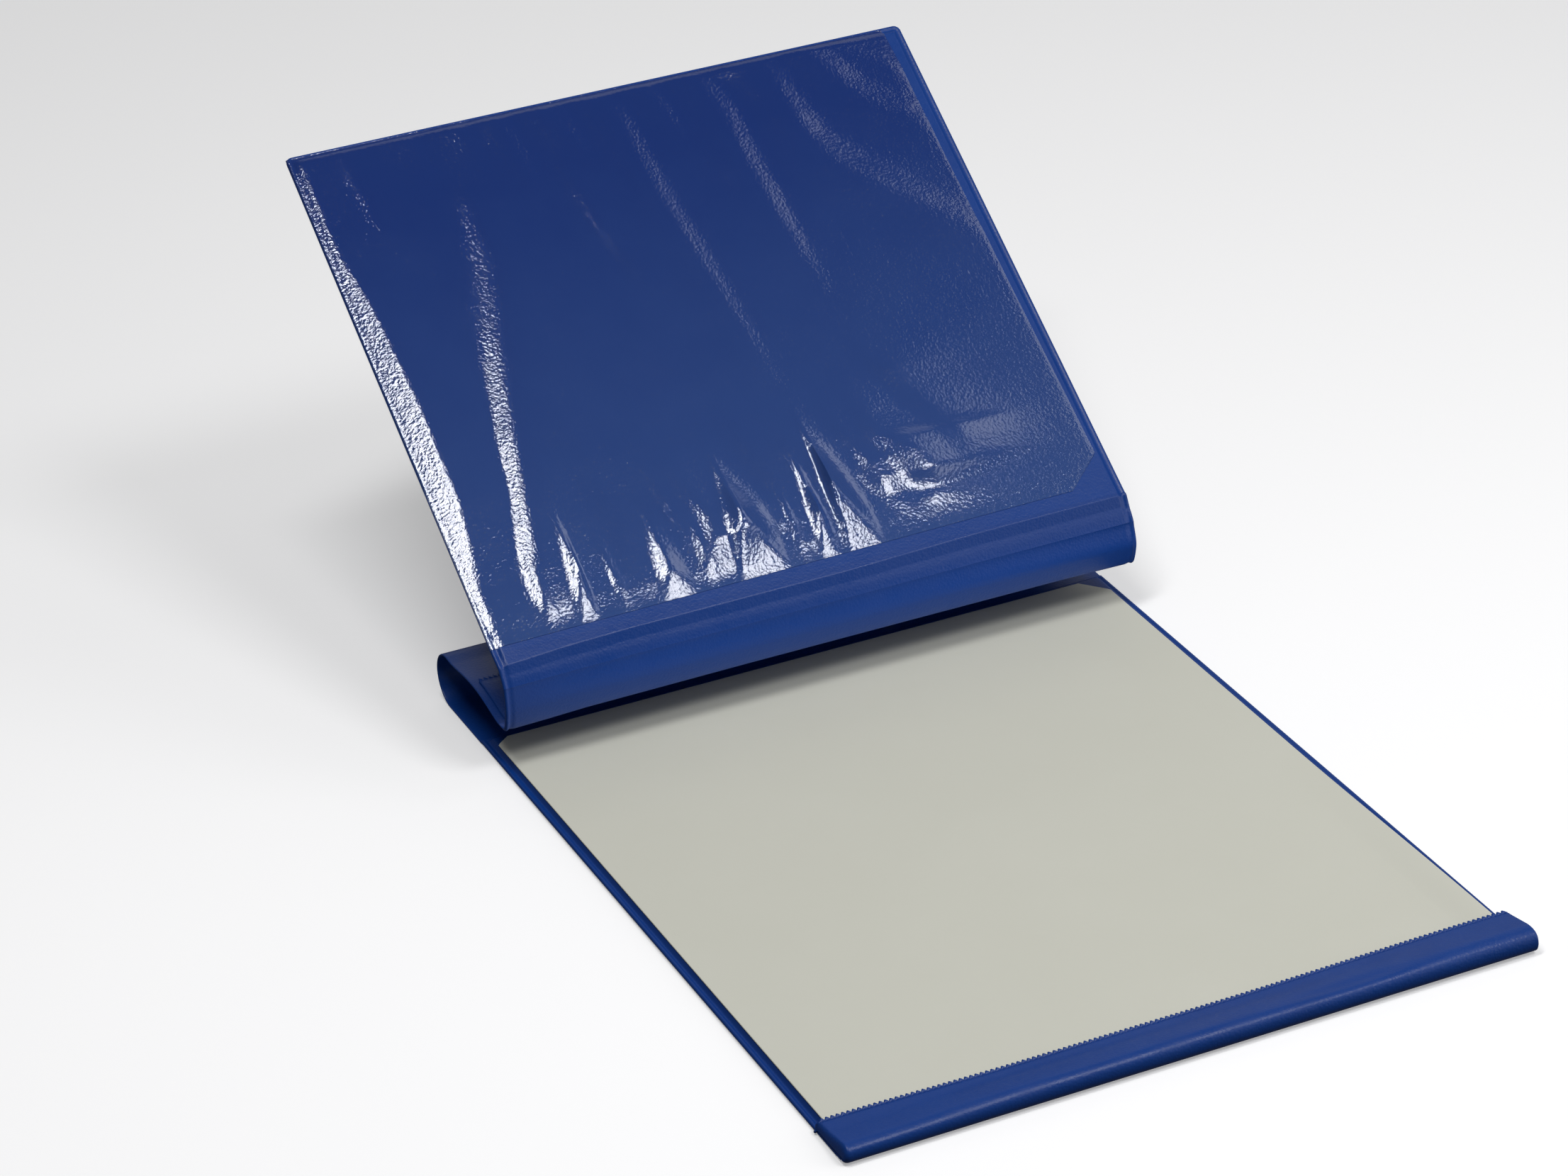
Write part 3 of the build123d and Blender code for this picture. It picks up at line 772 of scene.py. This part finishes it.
# Facets that rise from the bottom weld, each a triangle: left and right of its foot, apex, tilt
FACETS = [
    (-99, -92, -96, 20, 0.3), (-87, -79.5, -81, 24, 0.9), (-71, -65, -70, 18, 0.4),
    (-56, -43, -50, 17, 1.15), (-40, -33, -36, 20, 0.3), (-27, -7.5, -19, 29, 1.2),
    (-4, 1, -1.5, 20, 0.35), (4, 10.5, 9, 24, 1.15), (14.5, 28, 16, 33, 1.2),
]


def facet_height(gx, gu, left, right, apex, top, tilt):
    """Height of one facet, which rises from the weld and falls away beyond its slanted edges."""
    foot = FILM_FOOT + FILM_FOOT_RISE * (gx + 119.0) / 233.0
    up = np.clip(gu - foot, 0, None)
    slant = np.where(gx < apex, (gx - left) / (apex - left), (right - gx) / (right - apex))
    reach = np.clip(slant, 0, 1) * (top - 6.5)
    rise = np.clip(0.5 * (up + reach - np.sqrt((up - reach) ** 2 + 1.5)), 0, None)
    return 0.125 * tilt * rise * np.exp(-((np.clip(up - reach, 0, None) / 16.0) ** 2))


def crease_height(gx, gu, points, way):
    """Height of one crease: a straight slope across its line, falling away gently behind it.

    The crease fades out at its ends, apart from an end that lies in the lower or upper weld.
    """
    p = np.array(sorted(points), float)
    line, width, strength = (np.interp(gu, p[:, 0], p[:, k]) for k in (1, 2, 3))
    ends = smooth((gu - p[0, 0] + 8.0) / 8.0) if p[0, 0] > 10 else 1.0
    ends = ends * (smooth((p[-1, 0] + 8.0 - gu) / 8.0) if p[-1, 0] < 200 else 1.0)
    lean = np.interp(gu, p[:, 0], np.gradient(p[:, 1], p[:, 0]))
    s = (gx - line) / np.sqrt(1 + lean**2) * -way
    half = width / 2
    b = 0.25 * width + 0.3
    ramp = 0.5 * (np.sqrt((s + half) ** 2 + b**2) - np.sqrt((s - half) ** 2 + b**2) + width)
    behind = np.clip(s - half, 0, None) / (8.0 + 2.0 * width if way < 0 else 5.0 + 1.1 * width)
    before = np.clip(-s - half, 0, None) / (1.0 + 0.5 * width)
    steep = 0.25 + (line + 115.0) * 0.0009 if way < 0 else 0.175
    return steep * strength * ends * ramp * np.exp(-(behind**2) - before**2)


def left_bridge(gx, gu):
    """Height of the film's straight run up from the left weld, and of the ridge that it ends in."""
    p = np.array(sorted(LEFT_BRIDGE), float)
    end, slope = (np.interp(gu, p[:, 0], p[:, k]) for k in (1, 2))
    weld, foot, face = -119.2, 0.8, 1.45
    top = foot + slope * (end - weld)
    ridge = face + np.clip(top - face, 0, None) * np.exp(-(((gx - end) / 20.0) ** 2))
    run = foot + slope * (gx - weld)
    ends = smooth((209.0 - gu) / 6.0) * smooth((gu - 6.0) / 5.0)
    return np.where(gx < -119.3, 0.0, np.where(gx < end, run, ridge)) * ends


def film_right(u):
    """Place of the film's open edge, with its cut lower corner."""
    return np.interp(u, [0, 8.0, 20.2, FILM_TOP], [92.0, 101.3, 115.4, 112.5])


def film_height(gx, gu):
    """How far the film stands off the cover's face."""
    h = np.zeros_like(gx)
    for group, way in ((LEFT_SLOPES, -1), (RIGHT_SLOPES, 1)):
        for points in group:
            h = h + crease_height(gx, gu, points, way)
    h = h + 0.05 * np.sin(gx / 9.0 + gu / 60.0) * np.sin(gu / 55.0 + 1.0)
    return np.maximum(h + 0.05 + 0.2 * smooth((gu - 6.0) / 12.0), 0.04)


def pocket_film():
    at_left = [0, 0.0008, 0.0016, 0.0024, 0.0034, 0.0046, 0.006, 0.0085, 0.013, 0.02]
    a = np.concatenate([at_left, np.linspace(0.026, 0.985, 200), [0.992, 0.997, 1.0]])
    at_foot = [0, 0.002, 0.005, 0.01, 0.016]
    b = np.concatenate([at_foot, np.linspace(0.022, 0.98, 165), [0.988, 0.994, 0.998, 1.0]])
    ga, gb = np.meshgrid(a, b, indexing="ij")
    low = FILM_FOOT + FILM_FOOT_RISE * ga
    gu = low + gb * (FILM_TOP - low)
    right = film_right(gu)
    gx = FILM_LEFT + ga * (right - FILM_LEFT)
    d = np.minimum(HALF - np.abs(gx), COVER_LENGTH - gu)
    under = rim(d, COVER_HALF) + 0.03
    welded = np.minimum(gx - FILM_LEFT, FILM_TOP - gu)
    mask = smooth(np.minimum(np.minimum((gx + 119.4) / 1.3, (FILM_TOP - gu) / 3.2), (gu - low) / 9.0))
    loose = smooth((right - gx) / 5.0)
    stand = film_height(gx, gu) * (0.8 + 0.2 * loose)
    n = under + mask * stand
    for facet in FACETS:
        n = n + facet_height(gx, gu, *facet)
    n = np.maximum(n, left_bridge(gx, gu))
    top_end, slope, width = WELD_LINE
    flat = 0.62 + slope * (gx - FILM_LEFT) - 6.0 * np.clip(gx - FILM_LEFT - width, 0, None)
    flat = np.where(gu < top_end, flat - 0.3 * smooth((gu - top_end + 12.0) / 12.0), 0.0)
    n = np.maximum(n, flat)
    thick = 0.16 * quarter(np.minimum(welded, right - gx) / 0.15 + 0.05) + 0.02
    top, bottom = on_cover(gx, gu, n + thick), on_cover(gx, gu, n)
    return sheet_piece("clear_pocket_film", top, bottom, FILM, sharp=70.0)


# Press studs


def gusset_point(place):
    """Point on the gusset's upper face at a place across and along it."""
    x, run = place
    return (x, FOLD[0] + run * math.cos(GUSSET_TILT), FOLD[1] + run * math.sin(GUSSET_TILT))


# Half sections of the snap's pieces as (radius, height) points
CAP = [
    (0.0, 1.38), (1.2, 1.34), (2.4, 1.22), (3.4, 1.04), (4.1, 0.86), (4.5, 0.8), (4.8, 0.74),
    (4.97, 0.55), (5.0, 0.35), (4.95, 0.15), (4.8, 0.03), (1.5, 0.03), (1.5, -1.45), (1.3, -1.5),
    (0.0, -1.5),
]
SOCKET = [
    (1.62, -0.72), (4.2, -0.72), (4.55, -0.85), (4.6, -1.1), (4.55, -1.4), (4.3, -1.55), (4.3, -2.1),
    (4.45, -2.3), (4.5, -2.9), (4.35, -3.2), (3.9, -3.28), (3.3, -3.28), (2.9, -3.18), (2.5, -3.0),
    (2.32, -2.7), (2.28, -2.3), (2.45, -1.9), (2.45, -1.55), (1.62, -1.52),
]
STUD = [
    (1.56, 0.72), (4.2, 0.72), (4.38, 0.82), (4.4, 1.05), (4.25, 1.22), (3.4, 1.3), (2.95, 1.4),
    (2.75, 1.7), (2.65, 2.4), (2.3, 2.58), (1.72, 2.66), (1.56, 2.85), (1.58, 3.05), (1.78, 3.25),
    (1.85, 3.6), (1.82, 4.05), (1.62, 4.35), (1.3, 4.48), (0.9, 4.48), (0.0, 4.4), (0.0, 2.06),
    (1.56, 2.06),
]
EYELET = [
    (0.0, 0.12), (1.0, 0.12), (1.3, 0.02), (4.1, 0.0), (4.35, 0.08), (4.38, 0.2), (4.3, 0.29),
    (1.5, 0.29), (1.5, 1.9), (1.4, 1.99), (0.0, 1.99),
]


def snaps():
    """The four metal pieces, each a pair."""
    above = [gusset_point(p) for p in CAPS]
    below = [(x, y, 0.0) for x, y in STUDS]
    pieces = []
    for name, profile, centres, tilt in (
        ("snap_caps_metal", CAP, above, GUSSET_TILT),
        ("snap_sockets_metal", SOCKET, above, GUSSET_TILT),
        ("snap_studs_metal", STUD, below, 0.0),
        ("snap_eyelets_metal", EYELET, below, 0.0),
    ):
        verts, faces = lathe(profile, centres, tilt)
        pieces.append(mesh_piece(name, verts, faces, METAL, sharp=30.0))
    return pieces


# Put together

base_top_piece = base_top()
base_bottom_piece = base_bottom()
flap_piece = front_flap()
card_piece = white_card()
roll_piece = back_roll()
tail_piece = tail_strip()
fold_piece = spine_fold()
crease_piece = spine_crease()
cover_front_piece, cover_back_piece = cover_sheets()
film_piece = pocket_film()
caps_piece, sockets_piece, studs_piece, eyelets_piece = snaps()

for piece in (base_top_piece, base_bottom_piece, flap_piece, studs_piece, eyelets_piece):
    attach(piece, "base")
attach(card_piece, "card")
for piece in (tail_piece, caps_piece, sockets_piece):
    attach(piece, "gusset")
for piece in (cover_front_piece, cover_back_piece, film_piece):
    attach(piece, "cover")
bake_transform(roll_piece)
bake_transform(fold_piece)
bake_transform(crease_piece)

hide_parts("base_inner_skin")
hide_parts("base_outer_skin")
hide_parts("front_flap")
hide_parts("white_card")
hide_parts("back_loop", "gusset_panel")
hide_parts("cover_tail_strip")
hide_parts("spine_front_skin")
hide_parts("spine_back_skin")
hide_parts("cover_front_skin")
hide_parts("cover_back_skin")
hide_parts("pocket_film")
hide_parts("snap_caps")
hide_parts("snap_sockets")
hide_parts("snap_studs")
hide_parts("snap_eyelets")

for node in ("base_core_board", "cover_core_board"):
    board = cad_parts[node]
    board.data.materials.clear()
    board.data.materials.append(BOARD)

# Floor, light and camera

LIGHT_TARGET = (0.0, 0.06, 0.03)
FOCAL_PIXELS, PHOTO_WIDTH = 7000.0, 2212.0
CAMERA_PLACE = (-0.614507, -1.261508, 0.840227)


def floor():
    mesh = bpy.data.meshes.new("floor")
    corners = [(x, y, -0.0002) for x, y in ((-6, -6), (6, -6), (6, 6), (-6, 6))]
    mesh.from_pydata(corners, [], [(0, 1, 2, 3)])
    obj = bpy.data.objects.new("floor", mesh)
    bpy.context.scene.collection.objects.link(obj)
    g = Graph("pale_floor")
    g.set(Base_Color=(0.86, 0.86, 0.87, 1), Roughness=0.8)
    g.set(Emission_Color=(1, 1, 1, 1), Emission_Strength=0.32)
    mesh.materials.append(g.material)
    # The photo's backdrop sends no light back onto the folder
    obj.visible_diffuse = False
    obj.visible_glossy = False


def area(name, direction, distance, size, power, size_y=None):
    """Area light that looks at the folder's middle from a direction, in metres and watts."""
    light = bpy.data.lights.new(name, "AREA")
    light.energy = power
    light.size = size
    if size_y:
        light.shape = "RECTANGLE"
        light.size_y = size_y
    obj = bpy.data.objects.new(name, light)
    way = Vector(direction).normalized()
    obj.location = Vector(LIGHT_TARGET) + way * distance
    obj.rotation_euler = way.to_track_quat("Z", "Y").to_euler()
    bpy.context.scene.collection.objects.link(obj)


def camera():
    """The photo's camera, as the perspective fit gives it."""
    azimuth, elevation, roll = (math.radians(v) for v in (23.724, 28.131, -2.940))
    level = math.cos(elevation)
    forward = Vector((math.sin(azimuth) * level, math.cos(azimuth) * level, -math.sin(elevation)))
    right = Vector((math.cos(azimuth), -math.sin(azimuth), 0.0))
    up = right.cross(forward)
    x_axis = right * math.cos(roll) + up * math.sin(roll)
    y_axis = up * math.cos(roll) - right * math.sin(roll)
    data = bpy.data.cameras.new("camera")
    data.sensor_fit = "HORIZONTAL"
    data.sensor_width = 36.0
    data.lens = FOCAL_PIXELS / PHOTO_WIDTH * data.sensor_width
    data.clip_end = 50.0
    obj = bpy.data.objects.new("camera", data)
    turn = Matrix((x_axis, y_axis, -forward)).transposed().to_4x4()
    obj.matrix_world = Matrix.Translation(CAMERA_PLACE) @ turn
    bpy.context.scene.collection.objects.link(obj)
    bpy.context.scene.camera = obj


floor()
# Placed to fit the photo's highlights at the photo's angle
area("key", (0.28, -0.47, 0.84), 1.3, 0.42, 4.7, size_y=0.34)
area("left", (-0.24, -0.12, 0.96), 1.3, 0.22, 6.4, size_y=0.6)
area("side", (0.665, 0.02, 0.745), 1.4, 0.5, 0.80, size_y=0.42)
area("low", (0.78, -0.57, 0.29), 1.4, 1.0, 4.6)
area("back", (0.35, 0.80, 0.48), 1.6, 2.0, 2.4, size_y=1.2)
camera()

world = bpy.data.worlds.new("studio")
world.use_nodes = True
world.node_tree.nodes["Background"].inputs["Color"].default_value = (1.0, 1.0, 1.0, 1.0)
world.node_tree.nodes["Background"].inputs["Strength"].default_value = 0.07
bpy.context.scene.world = world
bpy.context.scene.view_settings.view_transform = "Standard"
bpy.context.scene.view_settings.look = "None"

bpy.context.view_layer.update()
